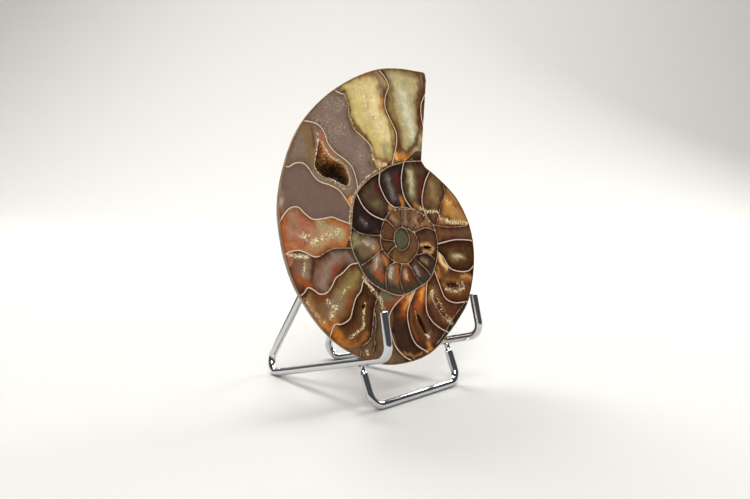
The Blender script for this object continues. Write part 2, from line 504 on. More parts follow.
def camera_axes():
    """The camera's right, up and forward directions in the easel's frame."""
    ahead = Vector((
        math.sin(CAMERA_TURN) * math.cos(CAMERA_DOWN), math.cos(CAMERA_TURN) * math.cos(CAMERA_DOWN),
        -math.sin(CAMERA_DOWN)))
    level = Vector((math.cos(CAMERA_TURN), -math.sin(CAMERA_TURN), 0.0))
    upright = level.cross(ahead)
    right = level * math.cos(CAMERA_ROLL) + upright * math.sin(CAMERA_ROLL)
    up = upright * math.cos(CAMERA_ROLL) - level * math.sin(CAMERA_ROLL)
    return right, up, ahead


def face_matrix(middle):
    """The face's own frame in the easel's: X across the face, Y into the stone, Z up the face."""
    return Matrix.Translation(middle) @ Euler((-LEAN_BACK, 0.0, TURNED)).to_matrix().to_4x4()


def on_face(pixel):
    """The point of the sawn face that the photograph has at this pixel, in millimetres across and up."""
    right, up, ahead = camera_axes()
    across = (pixel[0] - PHOTO_SIZE[0] / 2) / FOCAL_PIXELS
    rise = (PHOTO_SIZE[1] / 2 - pixel[1]) / FOCAL_PIXELS
    ray = ahead + right * across + up * rise
    inverse = face_matrix(COIL_IN_PHOTO).inverted()
    start = inverse @ Vector(CAMERA_AT)
    ray = inverse.to_3x3() @ ray
    hit = start - ray * (start.y / ray.y)
    return Vector((hit.x, hit.z))


def pixel_size():
    """The width of a pixel on the face, in millimetres."""
    return (on_face((402, 240)) - on_face((402, 241))).length


def easel_matrix():
    """The easel's frame in the object's frame, so that its wire fills the CAD wire's box."""
    turn = Matrix.Rotation(EASEL_TURN, 4, "X")
    low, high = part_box("easel_wire")
    route = [turn @ point for point in bent_route(easel_corners(), BEND, 7)]
    half = WIRE / 2
    shift = Vector((
        (low.x + high.x) / 2 / MM,
        low.y / MM - (min(point.y for point in route) - half),
        low.z / MM - (min(point.z for point in route) - half)))
    return Matrix.Translation(shift) @ turn


def stone_matrix():
    """The face's frame in the object's frame, in millimetres."""
    return easel_matrix() @ face_matrix(COIL)


# Curves and lines

def rim_radius(degrees):
    """The rim's radius in millimetres, on a smooth curve through its points."""
    first, last = RIM[0], RIM[-1]
    if degrees <= first[0]:
        return first[1] * math.exp(-GROWTH * math.radians(degrees - first[0]))
    if degrees >= last[0]:
        return last[1] * math.exp(-GROWTH * math.radians(degrees - last[0]))
    i = max(k for k in range(len(RIM) - 1) if RIM[k][0] <= degrees)
    (x0, y0), (x1, y1) = RIM[i], RIM[i + 1]
    before = RIM[i - 1] if i else (2 * x0 - x1, y0)
    after = RIM[i + 2] if i + 2 < len(RIM) else (2 * x1 - x0, y1)
    slope0 = (y1 - before[1]) / (x1 - before[0])
    slope1 = (after[1] - y0) / (after[0] - x0)
    t = (degrees - x0) / (x1 - x0)
    span = x1 - x0
    return (
        (2 * t ** 3 - 3 * t ** 2 + 1) * y0 + (t ** 3 - 2 * t ** 2 + t) * span * slope0
        + (3 * t ** 2 - 2 * t ** 3) * y1 + (t ** 3 - t ** 2) * span * slope1)


def rim_point(degrees):
    """A point of the rim on the sawn face, in millimetres across and up."""
    radius = rim_radius(degrees)
    return Vector((radius * math.cos(math.radians(degrees)), radius * math.sin(math.radians(degrees))))


def smooth_line(points, step, closed=False):
    """Points a step apart on a smooth curve through the given ones."""
    count = len(points)
    result = []
    for i in range(count if closed else count - 1):
        if closed:
            p0, p1, p2, p3 = (points[(i + k) % count] for k in (-1, 0, 1, 2))
        else:
            p0, p1, p2, p3 = points[max(i - 1, 0)], points[i], points[i + 1], points[min(i + 2, count - 1)]
        steps = max(1, round((p2 - p1).length / step))
        for k in range(steps):
            t = k / steps
            result.append(
                (p1 * 2 + (p2 - p0) * t + (p0 * 2 - p1 * 5 + p2 * 4 - p3) * t * t
                 + (p1 * 3 - p0 - p2 * 3 + p3) * t ** 3) / 2)
    if not closed:
        result.append(points[-1])
    return result


def line_distance(points, lines):
    """The distance from each point to the nearest of the lines, all in millimetres."""
    best = np.full(len(points), FAR)
    for line in lines:
        line = np.array([tuple(p) for p in line])
        starts, ends = (line, line) if len(line) == 1 else (line[:-1], line[1:])
        for a, b in zip(starts, ends):
            along = b - a
            share = np.clip(((points - a) @ along) / max(along @ along, 1e-9), 0, 1)
            gap = points - a - share[:, None] * along
            best = np.minimum(best, gap[:, 0] ** 2 + gap[:, 1] ** 2)
    return np.sqrt(best)


def inside(points, outline):
    """Which points are inside a closed outline."""
    result = np.zeros(len(points), bool)
    for a, b in zip(outline, outline[1:] + outline[:1]):
        if a.y == b.y:
            continue
        crosses = (a.y > points[:, 1]) != (b.y > points[:, 1])
        at = a.x + (points[:, 1] - a.y) / (b.y - a.y) * (b.x - a.x)
        result ^= crosses & (points[:, 0] < at)
    return result


def noise_at(points, size, seed):
    """Smooth noise about 0 at each point, with bumps of this size in millimetres."""
    return np.array([noise.noise(Vector((p[0] / size, p[1] / size, seed * 7.31))) for p in points])


def hollow_outline(name):
    """The closed outline of a hollow on the face, slightly uneven."""
    shape = HOLLOWS[name][0]
    if isinstance(shape[0], tuple):
        outline = smooth_line([on_face(pixel) for pixel in shape], 0.5, closed=True)
    else:
        across, up, half_long, half_wide, turn = shape
        turn = math.radians(turn)
        outline = []
        count = max(16, int(half_long * 9))
        for k in range(count):
            angle = TURN * k / count
            x, y = half_long * math.cos(angle), half_wide * math.sin(angle)
            outline.append(Vector((
                across + x * math.cos(turn) - y * math.sin(turn),
                up + x * math.sin(turn) + y * math.cos(turn))))
    uneven = noise_at([(p.x, p.y) for p in outline], 1.1, len(name))
    middle = sum(outline, Vector((0, 0))) / len(outline)
    return [p + (p - middle).normalized() * EDGE_BUMP * float(n) for p, n in zip(outline, uneven)]


# Mesh and material helpers

def new_object(name, vertices, faces, material=None, smooth=True):
    """A mesh object at the origin, from places in millimetres in the object's frame."""
    mesh = bpy.data.meshes.new(name)
    mesh.from_pydata([tuple(Vector(v) * MM) for v in vertices], [], faces)
    mesh.validate()
    body = bpy.data.objects.new(name, mesh)
    bpy.context.scene.collection.objects.link(body)
    if material:
        mesh.materials.append(material)
    if smooth:
        mesh.polygons.foreach_set("use_smooth", [True] * len(mesh.polygons))
    return body


def set_attribute(mesh, name, kind, domain, values):
    """Stores one value for each vertex, face or corner."""
    attribute = mesh.attributes.new(name, kind, domain)
    key = "color" if kind == "FLOAT_COLOR" else "value"
    attribute.data.foreach_set(key, np.asarray(values, np.float32).ravel())


def ride(body, slot, *nodes):
    """Gives a piece to the object's one body, its material slot, and the CAD nodes it stands for."""
    if not body.data.polygons:
        raise RuntimeError(f"{body.name} has no faces")
    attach(body, "root")
    if nodes:
        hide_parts(*nodes)


def new_material(name):
    """A material with a Principled shader; returns both."""
    material = bpy.data.materials.new(name)
    material.use_nodes = True
    return material, material.node_tree.nodes["Principled BSDF"]


def add_node(tree, kind, inputs=None, output=0, **settings):
    """Adds one shader node, sets its options, sets or links its inputs, and returns one output."""
    node = tree.nodes.new("ShaderNode" + kind)
    for key, value in settings.items():
        setattr(node, key, value)
    for key, value in (inputs or {}).items():
        socket = node.inputs[key]
        if isinstance(value, bpy.types.NodeSocket):
            tree.links.new(value, socket)
        elif socket.type == "RGBA":
            socket.default_value = (*value[:3], 1.0)
        else:
            socket.default_value = value
    return node.outputs[output]


def stored(tree, *names):
    """The stored attributes of these names."""
    return [add_node(tree, "Attribute", output="Fac", attribute_name=name) for name in names]


def places_in_mm(tree):
    """The object's own coordinates in millimetres."""
    place = add_node(tree, "TexCoord", output="Object")
    return add_node(tree, "VectorMath", {0: place, 1: (1 / MM, 1 / MM, 1 / MM)}, operation="MULTIPLY")


def product(tree, first, *others):
    """Several values multiplied together."""
    for other in others:
        first = add_node(tree, "Math", {0: first, 1: other}, operation="MULTIPLY")
    return first


def eased_masks(tree, rows):
    """For each row, its source from a low to a high value, eased into a start and an end value."""
    return {
        name: add_node(tree, "MapRange", dict(enumerate(row)), interpolation_type="SMOOTHSTEP")
        for name, row in rows.items()}


def noise_masks(tree, place, rows):
    """For each row, noise with bumps of its size in millimetres, eased as the row says."""
    spans = {}
    for name, (size, detail, roughness, distortion, *span) in rows.items():
        looks = {"Scale": 1 / size, "Detail": detail, "Roughness": roughness, "Distortion": distortion}
        spans[name] = (add_node(tree, "TexNoise", {"Vector": place, **looks}, "Fac"), *span)
    return eased_masks(tree, spans)


def painted(tree, colour, *layers):
    """A colour with other colours laid over it, each through its mask. A text is a hex colour."""
    colour = hex_colour(colour) if isinstance(colour, str) else colour
    for mask, over in layers:
        over = hex_colour(over) if isinstance(over, str) else over
        colour = add_node(tree, "Mix", {0: mask, 6: colour, 7: over}, 2, data_type="RGBA")
    return colour


# Polished calcite and mud: sawn and polished flat, so it gives a glassy shine over soft mineral colours,
# with dull specks in the mud, sugary crystals, and pale shell walls with a dark line beside them.
def calcite_material(settings):
    """The finish of the sawn face."""
    material, shader = new_material("Polished calcite")
    tree = material.node_tree
    place = places_in_mm(tree)
    noises = noise_masks(tree, place, CALCITE_NOISE)
    mud, sugar, septum, faint, spiral, rim = stored(
        tree, "mud", "sugar", "septum_mm", "faint_mm", "spiral_mm", "rim_mm")
    septum, faint, spiral, rim = (
        add_node(tree, "Math", {0: distance, 1: noises[wobble]}, operation="DIVIDE")
        for distance, wobble in ((septum, "even"), (faint, "uneven"), (spiral, "uneven"), (rim, "uneven")))
    facet, grain = (
        add_node(tree, "TexVoronoi", {"Vector": place, "Scale": 1 / size}, "Color")
        for size in (settings.facet_mm, settings.grain_mm))
    facet = add_node(tree, "SeparateColor", {0: facet}, "Green")
    grain = add_node(tree, "SeparateColor", {0: grain}, "Red")
    clumps = add_node(
        tree, "TexNoise", {"Vector": place, "Scale": 1 / 1.1, "Detail": 3.0, "Roughness": 0.6}, "Fac")
    cover = add_node(tree, "Math", {0: sugar, 1: clumps}, operation="ADD")
    half = settings.septum_mm / 2
    masks = eased_masks(tree, {
        "facet": (facet, 0.0, 1.0, 0.93, 1.07),
        "loose": (mud, 0.4, 1.0),
        "cover": (cover, 0.85, 1.25, 0.0, 0.95),
        "grain_cover": (grain, 0.1, 0.5, 0.25, 1.0),
        "grain_tone": (grain, 0.1, 0.95),
        "by_septum": (septum, half, half * 2.6, 0.45, 0.0),
        "septum": (septum, half * 0.7, half * 1.25, 0.95, 0.0),
        "by_faint": (faint, half * 0.4, half * 3.0, 0.55, 0.0),
        "faint": (faint, half * 0.35, half * 0.9, 1.0, 0.0),
        "by_spiral": (spiral, half, half * 3.0, 0.5, 0.0),
        "spiral": (spiral, half * 0.7, half * 1.3, 0.9, 0.0),
        "rim_tone": (rim, 0.15, 0.5),
        "rim": (rim, 0.3, 0.8, 0.7, 0.0),
    })
    tone = product(tree, noises["cloud"], noises["fine"], masks["facet"])
    quiet = add_node(tree, "Math", {0: mud, 1: 1.3}, operation="MULTIPLY", use_clamp=True)
    tone = add_node(tree, "Mix", {0: quiet, 2: tone, 3: 1.0}, data_type="FLOAT")
    tint = add_node(tree, "Attribute", output="Color", attribute_name="tint")
    mineral = add_node(tree, "VectorMath", {0: tint, 3: tone}, operation="SCALE")
    crystal_colour = painted(tree, "6e4824", (masks["grain_tone"], "f8e4ba"))
    spiral_colour = painted(tree, "7a5c40", (noises["beads"], "c4a888"))
    rim_colour = painted(tree, "8a6c48", (masks["rim_tone"], "3e2616"))
    colour = painted(
        tree, mineral,
        (product(tree, noises["speck"], noises["patchy"], masks["loose"]), "c4b49c"),
        (product(tree, noises["pit"], masks["loose"]), "3c2a22"),
        (product(tree, masks["cover"], masks["grain_cover"]), crystal_colour),
        (masks["by_septum"], "33190f"),
        (masks["septum"], settings.wall_colour),
        (masks["by_faint"], "2c160e"),
        (product(tree, masks["faint"], noises["broken"]), "c0a488"),
        (masks["by_spiral"], "3c2414"),
        (masks["spiral"], spiral_colour),
        (masks["rim"], rim_colour))
    tree.links.new(colour, shader.inputs["Base Color"])
    shader.inputs["Roughness"].default_value = settings.polish
    shader.inputs["IOR"].default_value = 1.5
    shader.inputs["Specular IOR Level"].default_value = 0.4
    return material


# Calcite crystals, grown and never cut: small faces that glint, orange brown near the light, cream at the
# rim, and almost black deep down.
def crystal_material():
    """The finish of the crystals and the rock in the open hollows."""
    material, shader = new_material("Calcite crystals")
    tree = material.node_tree
    tone, deep = stored(tree, "crystal_tone", "deep")
    masks = eased_masks(tree, {"tan": (tone, 0.0, 0.7), "cream": (tone, 0.75, 1.0)})
    colour = painted(tree, "84481c", (masks["tan"], "d8a064"), (masks["cream"], "f2e2c2"), (deep, "1e0f08"))
    tree.links.new(colour, shader.inputs["Base Color"])
    shader.inputs["Roughness"].default_value = 0.45
    shader.inputs["Specular IOR Level"].default_value = 0.15
    return material


# Weathered shell, as dug up: ribs with darker valleys, fine growth lines, reddish pearl and pale crust give
# the back a dull, earthy look.
def shell_material():
    """The finish of the back."""
    material, shader = new_material("Weathered shell")
    tree = material.node_tree
    place = places_in_mm(tree)
    noises = noise_masks(tree, place, SHELL_NOISE)
    share, turn = stored(tree, "share", "turn")
    lines = add_node(tree, "CombineXYZ", {0: product(tree, turn, 34.0), 1: share})
    growth = add_node(tree, "TexNoise", {"Vector": lines, "Scale": 3.0, "Detail": 3.0}, "Fac")
    grit = add_node(
        tree, "TexNoise", {"Vector": place, "Scale": 1 / 0.7, "Detail": 3.0, "Roughness": 0.55}, "Fac")
    rib = add_node(tree, "Math", {0: product(tree, turn, float(RIBS))}, operation="COSINE")
    masks = eased_masks(tree, {
        "valley": (rib, -1.0, 0.4, 0.3, 0.0),
        "growth": (growth, 0.35, 0.65, 0.3, 0.0),
        "dirt": (share, 0.22, 0.36, 0.75, 0.0),
    })
    colour = painted(
        tree, "7a5c3e",
        (noises["patch"], "a88c66"),
        (noises["pearl"], "8c4a34"),
        (masks["valley"], "46301e"),
        (masks["growth"], "3c2818"),
        (noises["crust"], "b4a284"),
        (masks["dirt"], "4a3c2a"))
    tree.links.new(colour, shader.inputs["Base Color"])
    shader.inputs["Roughness"].default_value = 0.38
    height = 0.0
    for source, part in ((growth, 0.5), (rib, 0.5), (grit, 0.8)):
        height = add_node(tree, "Math", {0: source, 1: part, 2: height}, operation="MULTIPLY_ADD")
    bump = add_node(tree, "Bump", {"Height": height, "Distance": 0.3 * MM, "Strength": 0.6})
    tree.links.new(bump, shader.inputs["Normal"])
    return material


# Chromed steel, drawn to wire, bent and plated: a clear mirror, with faint smudges from handling.
def chrome_material(settings):
    """The finish of the easel."""
    material, shader = new_material("Chromed steel")
    tree = material.node_tree
    shader.inputs["Base Color"].default_value = (*settings.chrome, 1.0)
    shader.inputs["Metallic"].default_value = 1.0
    clean = settings.roughness
    smudge = {"smudge": (6.0, 4.0, 0.55, 0.0, 0.4, 0.7, clean, clean * 2.2)}
    tree.links.new(noise_masks(tree, places_in_mm(tree), smudge)["smudge"], shader.inputs["Roughness"])
    return material


# The sawn face

def chamber_of_faces(middles, faces_of_edge, barriers):
    """Which chamber each face is in: the one whose seed is reached by the shortest way past the walls."""
    neighbours = [[] for _ in middles]
    for edge, faces in faces_of_edge.items():
        if len(faces) == 2:
            a, b = faces
            cost = float(np.linalg.norm(middles[a] - middles[b]))
            cost += ACROSS_A_WALL if edge in barriers else 0.0
            neighbours[a].append((b, cost))
            neighbours[b].append((a, cost))
    best = np.full(len(middles), FAR)
    owner = np.zeros(len(middles), int)
    queue = []
    for number, chamber in enumerate(CHAMBERS.values()):
        seed = on_face(chamber[0])
        face = int(np.argmin(((middles - np.array(tuple(seed))) ** 2).sum(1)))
        best[face] = 0.0
        owner[face] = number
        heapq.heappush(queue, (0.0, face))
    while queue:
        cost, face = heapq.heappop(queue)
        if cost > best[face]:
            continue
        for other, step in neighbours[face]:
            if cost + step < best[other]:
                best[other] = cost + step
                owner[other] = owner[face]
                heapq.heappush(queue, (cost + step, other))
    return owner


def smooth_share(value, low, high):
    """0 below low, 1 above high, smoothly between."""
    share = np.clip((value - low) / (high - low), 0, 1)
    return share * share * (3 - 2 * share)


def face_colours(points, corners, owner, walls_mm):
    """The mineral colour at each corner of each face, from its chamber's colours and the stains."""
    corner_point = corners.ravel()
    corner_chamber = np.repeat(owner, 3)
    warp = 0.7 * noise_at(points, 2.6, 1) + 0.3 * noise_at(points, 0.9, 2)
    reach = (walls_mm + warp)[corner_point]
    rows = list(CHAMBERS.values())
    edge, main, heart = (np.array([hex_colour(row[k]) for row in rows])[corner_chamber] for k in (1, 2, 3))
    depth = np.array([row[4] for row in rows])[corner_chamber]
    colour = edge + (main - edge) * smooth_share(reach, 0.3, depth * 0.8)[:, None]
    colour = colour + (heart - colour) * smooth_share(reach, depth * 0.6, depth * 1.5)[:, None]
    names = list(CHAMBERS)
    scale = pixel_size()
    flow = [noise_at(points, 2.6, seed) + 0.3 * noise_at(points, 0.9, seed + 5) for seed in (3, 4)]
    flow = np.stack(flow, 1)
    for chamber, line, half_width, code, strength in STAINS:
        half = half_width * scale
        gap = line_distance(points + flow * min(1.5, 0.4 + half * 0.6), [[on_face(pixel) for pixel in line]])
        cover = np.exp(-(gap / (half * 1.05)) ** 2)[corner_point] * strength
        if chamber:
            cover = cover * (corner_chamber == names.index(chamber))
        colour = colour + (np.array(hex_colour(code)) - colour) * cover[:, None]
    return colour


def sugar_cover(points):
    """How densely sugary crystals cover each point of the face."""
    cover = np.zeros(len(points))
    scale = pixel_size()
    crusted = HOLLOWS["main_hollow"][0]
    for line, half_width, density in SUGAR + ((crusted + crusted[:1], 1.5, 0.8),):
        gap = line_distance(points, [[on_face(pixel) for pixel in line]])
        half = half_width * scale
        cover = np.maximum(cover, density * np.exp(-(gap / (half * 1.1)) ** 2))
    return cover


def build_face(settings):
    """The flat sawn face with its holes, its walls' distances and its chambers' colours."""
    rim = [rim_point(RIM[0][0] + (RIM[-1][0] - RIM[0][0]) * i / ROWS) for i in range(ROWS + 1)]
    cut = smooth_line([rim[-1], (rim[-1] * 2 + rim[0]) / 3, (rim[-1] + rim[0] * 2) / 3, rim[0]], 0.6)[1:-1]
    outline = rim + cut
    holes = [hollow_outline(name) for name in HOLLOWS]
    septa, thin, spirals = (
        [smooth_line([on_face(pixel) for pixel in line], LINE_STEP) for line in lines.values()]
        for lines in (SEPTA, FAINT_SEPTA, SPIRAL_WALLS))
    points, edges = [], []
    for line in [outline] + holes:
        start = len(points)
        points += line
        edges += [(start + k, start + (k + 1) % len(line)) for k in range(len(line))]
    wall_from = len(edges)
    for line in septa + thin + spirals:
        keep = inside(np.array([tuple(p) for p in line]), outline)
        line = [p for p, ok in zip(line, keep) if ok]
        start = len(points)
        points += line
        edges += [(start + k, start + k + 1) for k in range(len(line) - 1)]
    chance = random.Random(3)
    step = settings.mesh_mm
    grid = []
    low = (min(p.x for p in rim), min(p.y for p in rim))
    high = (max(p.x for p in rim), max(p.y for p in rim))
    row = 0
    y = low[1]
    while y < high[1]:
        x = low[0] + (step / 2 if row % 2 else 0)
        while x < high[0]:
            grid.append((x + chance.uniform(-SHIFT, SHIFT) * step, y + chance.uniform(-SHIFT, SHIFT) * step))
            x += step
        y += step * ROW_STEP
        row += 1
    grid = np.array(grid)
    keep = inside(grid, outline)
    for hole in holes:
        keep &= ~inside(grid, hole)
    borders = [line + line[:1] for line in [outline] + holes]
    keep &= line_distance(grid, borders + septa + thin + spirals) > LINE_ROOM
    points += [Vector(p) for p in grid[keep]]
    made = delaunay_2d_cdt(points, edges, [], 0, 1e-5, True)
    spots = np.array([tuple(p) for p in made[0]])
    corners = np.array([face for face in made[2] if len(face) == 3])
    middles = spots[corners].mean(1)
    keep = inside(middles, outline)
    for hole in holes:
        keep &= ~inside(middles, hole)
    corners = corners[keep]
    middles = middles[keep]
    barriers = {
        tuple(sorted(edge)) for edge, source in zip(made[1], made[4]) if any(k >= wall_from for k in source)}
    faces_of_edge = {}
    for number, face in enumerate(corners):
        for a, b in ((face[0], face[1]), (face[1], face[2]), (face[2], face[0])):
            faces_of_edge.setdefault((min(a, b), max(a, b)), []).append(number)
    owner = chamber_of_faces(middles, faces_of_edge, barriers)
    place = stone_matrix()
    flat = [place @ Vector((p[0], 0.0, p[1])) for p in spots]
    body = new_object("sawn_face", flat, [tuple(int(k) for k in face) for face in corners], smooth=False)
    septum_mm = line_distance(spots, septa)
    faint_mm = line_distance(spots, thin + spirals[1:])
    spiral_mm = line_distance(spots, spirals[:1])
    rim_mm = line_distance(spots, [rim])
    walls_mm = np.minimum(np.minimum(septum_mm, faint_mm), np.minimum(spiral_mm, rim_mm + 1.0))
    colours = face_colours(spots, corners, owner, walls_mm)
    colours = np.hstack([colours, np.ones((len(colours), 1))])
    mud = np.array([row[5] for row in CHAMBERS.values()])[owner]
    mesh = body.data
    set_attribute(mesh, "tint", "FLOAT_COLOR", "CORNER", colours)
    set_attribute(mesh, "mud", "FLOAT", "FACE", mud)
    for name, values in (("sugar", sugar_cover(spots)), ("septum_mm", septum_mm), ("faint_mm", faint_mm),
                         ("spiral_mm", spiral_mm), ("rim_mm", rim_mm)):
        set_attribute(mesh, name, "FLOAT", "POINT", values)
    mesh.materials.append(calcite_material(settings))
    return body


# The back of the shell

def flank(share):
    """The depth across a whorl from its navel side to its rim, as a share of its full depth."""
    if share <= SHOULDER:
        return 1.0 - FLANK_SLOPE * (SHOULDER - share)
    return max(0.0, 1.0 - ((share - SHOULDER) / (1 - SHOULDER)) ** FLANK_POWER) ** FLANK_ROUND


def stone_depth(radius, degrees):
    """How far the shell reaches behind the face, in millimetres, and the place across the whorl."""
    outer = rim_radius(degrees)
    scale = 1.0
    while radius < NAVEL * outer and outer > 3.0:
        outer *= PER_TURN_IN
        scale *= PER_TURN_IN
    share = min(1.0, radius / outer)
    fade = max(0.0, min(1.0, (share - NAVEL) / RIB_RISE, (RIB_END - share) / RIB_FALL))
    turn = math.radians(degrees) + RIB_SWEEP * math.sin(TURN * (share - 0.3))
    rib = RIB_HEIGHT * fade * math.cos(RIBS * turn)
    depth = THICKNESS * outer * flank(share) + scale * rib
    edge = (share - NAVEL) / NAVEL_SLOPE
    if edge < 1.0:
        inner = outer * PER_TURN_IN
        below = THICKNESS * inner * flank(min(1.0, radius / inner))
        depth = below + (depth - below) * (edge * edge * (3 - 2 * edge) if edge > 0 else 0.0)
    return depth, share, turn


def navel_start():
    """Where the line of the broken aperture meets the navel grid's ring, in degrees."""
    top, low = rim_point(RIM[0][0]), rim_point(RIM[-1][0])
    along = (low - top).normalized()
    nearest = low - along * low.dot(along)
    reach = math.sqrt(NAVEL_GRID ** 2 - nearest.length_squared)
    meeting = nearest - along * reach
    return math.degrees(math.atan2(meeting.y, meeting.x))


def build_back():
    """The shell's flank with its ribs and navel, and the flat wall of the aperture."""
    start = navel_start()
    place = stone_matrix()
    vertices, shares, turns = [], [], []

    def vertex(spot, degrees, on_rim=False):
        depth, share, turn = stone_depth(max(spot.length, 0.3), degrees)
        vertices.append(place @ Vector((spot.x, 0.0 if on_rim else max(LEAST_DEPTH, depth), spot.y)))
        shares.append(share)
        turns.append(turn)
        return len(vertices) - 1

    faces = []
    middle = vertex(Vector((0.0, 0.0)), start)
    rings = []
    for k in range(1, NAVEL_STATIONS):
        radius = NAVEL_GRID * k / NAVEL_STATIONS
        ring = []
        for i in range(ROWS):
            angle = start + 360.0 * i / ROWS
            spot = Vector((math.cos(math.radians(angle)), math.sin(math.radians(angle)))) * radius
            ring.append(vertex(spot, angle if angle > RIM[0][0] else angle + 360.0))
        rings.append(ring)
    flanks, seam = [], []
    for i in range(ROWS + 1):
        ring_angle = math.radians(start + 360.0 * i / ROWS)
        rim_angle = RIM[0][0] + (RIM[-1][0] - RIM[0][0]) * i / ROWS
        ring = Vector((math.cos(ring_angle), math.sin(ring_angle))) * NAVEL_GRID
        rim = rim_point(rim_angle)
        row = []
        for j in range(FLANK_STATIONS + 1):
            spot = ring.lerp(rim, math.sin(math.pi / 2 * j / FLANK_STATIONS))
            angle = math.degrees(math.atan2(spot.y, spot.x))
            angle += 360.0 * round((rim_angle - angle) / 360.0)
            if j == 0 and i == ROWS:
                continue
            row.append(vertex(spot, angle, on_rim=j == FLANK_STATIONS))
        if i < ROWS:
            seam.append(row.pop(0))
        flanks.append(row)
    rings.append(seam)
    for i in range(ROWS):
        after = (i + 1) % ROWS
        faces.append((middle, rings[0][i], rings[0][after]))
        for inner, outer in zip(rings, rings[1:]):
            faces.append((inner[i], outer[i], outer[after], inner[after]))
        near = [seam[i]] + flanks[i]
        far = [seam[after]] + flanks[i + 1]
        for j in range(FLANK_STATIONS):
            faces.append((near[j], near[j + 1], far[j + 1], far[j]))
    high, low = flanks[0], flanks[-1]
    wall = [(seam[0], high[0], low[0])]
    for j in range(FLANK_STATIONS - 1):
        wall.append((high[j], high[j + 1], low[j + 1], low[j]))
    body = new_object("shell_back", vertices, faces + wall, shell_material())
    mesh = body.data
    set_attribute(mesh, "share", "FLOAT", "POINT", shares)
    set_attribute(mesh, "turn", "FLOAT", "POINT", turns)
    for polygon in mesh.polygons[-len(wall):]:
        polygon.use_smooth = False
    turn_outwards(mesh)
    return body


def turn_outwards(mesh):
    """Makes the faces of a mesh agree with each other, away from its middle."""
    bm = bmesh.new()
    bm.from_mesh(mesh)
    bmesh.ops.recalc_face_normals(bm, faces=bm.faces)
    bm.to_mesh(mesh)
    bm.free()


# The hollows and their crystals

def crystal(chance, at, direction, length, width):
    """One pointed calcite crystal, six-sided, standing in a direction."""
    side = direction.orthogonal().normalized()
    other = direction.cross(side)
    turn = chance.uniform(0, TURN)
    vertices = []
    for share, reach in ((-0.3, 0.9), (0.45, 1.0)):
        for k in range(6):
            angle = turn + TURN * k / 6
            wide = width * reach * (1.0 if k % 2 else 0.82)
            out = (side * math.cos(angle) + other * math.sin(angle)) * wide
            vertices.append(at + direction * length * share + out)
    vertices.append(at + direction * length)
    faces = [(k, (k + 1) % 6, 6 + (k + 1) % 6, 6 + k) for k in range(6)]
    faces += [(6 + k, 6 + (k + 1) % 6, 12) for k in range(6)]
    faces.append((5, 4, 3, 2, 1, 0))
    return vertices, faces


def darkness(spot, middle, depth, on_rock, count):
    """How dark a point of a hollow is, from 0 to 1: darker deep down and to the lower right."""
    if not count:
        return min(0.95, spot.y * 1.4)
    reach = 0.85 * spot.y / depth + 0.06 * (spot.x - middle.x - spot.z + middle.y) - 0.1
    part = 1.0 if on_rock or count > LARGE_DRUSE else 0.45
    return min(1.0, max(0.0, reach)) * min(1.0, spot.y) * part


def build_hollow(name, material):
    """A pit of uneven rock in the face, lined with crystals where the photograph has them."""
    outline = hollow_outline(name)
    depth, count = HOLLOWS[name][1:]
    chance = random.Random(name)
    middle = sum(outline, Vector((0, 0))) / len(outline)
    rings = []
    vertices = []
    for number, (share, down) in enumerate(HOLLOW_LEVELS):
        ring = []
        for p in outline:
            spot = middle + (p - middle) * share
            sink = down * depth
            if number:
                sink += ROCK_BUMP * noise.noise(Vector((spot.x * 0.9, spot.y * 0.9, sink)))
                sink = max(sink, 0.05)
            ring.append(len(vertices))
            vertices.append(Vector((spot.x, sink, spot.y)))
        rings.append(ring)
    vertices.append(Vector((middle.x, depth, middle.y)))
    bottom = len(vertices) - 1
    faces = []
    total = len(outline)
    for upper, lower in zip(rings, rings[1:]):
        for k in range(total):
            faces.append((upper[k], upper[(k + 1) % total], lower[(k + 1) % total], lower[k]))
    faces += [(rings[-1][k], rings[-1][(k + 1) % total], bottom) for k in range(total)]
    tones = [0.3] * len(vertices)
    large = count > LARGE_DRUSE
    for ring, tone in zip(rings[:2], (1.0, 0.85)):
        for k in ring:
            tones[k] = tone if large else 0.0
    rock = len(vertices)
    for _ in range(count):
        level = chance.randrange(1, len(HOLLOW_LEVELS) - 1)
        k = chance.randrange(total)
        corner = vertices[rings[level][k]]
        along = vertices[rings[level][(k + 1) % total]] - corner
        down = vertices[rings[level + 1][k]] - corner
        a = corner + along * chance.random() + down * chance.random()
        normal = along.cross(down).normalized()
        inward = Vector((middle.x, depth * 0.35, middle.y)) - a
        if normal.dot(inward) < 0:
            normal = -normal
        lean = Vector([chance.gauss(0, CRYSTAL_LEAN) for _ in range(3)])
        direction = (normal + lean).normalized()
        length = chance.uniform(*CRYSTAL_LENGTH)
        tip = a + direction * length
        if tip.y < 0.15:
            continue
        start = len(vertices)
        made, sides = crystal(chance, a, direction, length, length * chance.uniform(*CRYSTAL_WIDTH))
        vertices += [Vector((v.x, max(v.y, 0.1), v.z)) for v in made]
        faces += [tuple(start + k for k in side) for side in sides]
        tones += [0.75 * chance.random() ** 0.7 if large else chance.random() ** 0.35] * len(made)
    place = stone_matrix()
    body = new_object(name + "_druse", [place @ v for v in vertices], faces, material, smooth=False)
    set_attribute(body.data, "crystal_tone", "FLOAT", "POINT", tones)
    deep = [darkness(v, middle, depth, number < rock, count) for number, v in enumerate(vertices)]
    set_attribute(body.data, "deep", "FLOAT", "POINT", deep)
    return body


# The easel

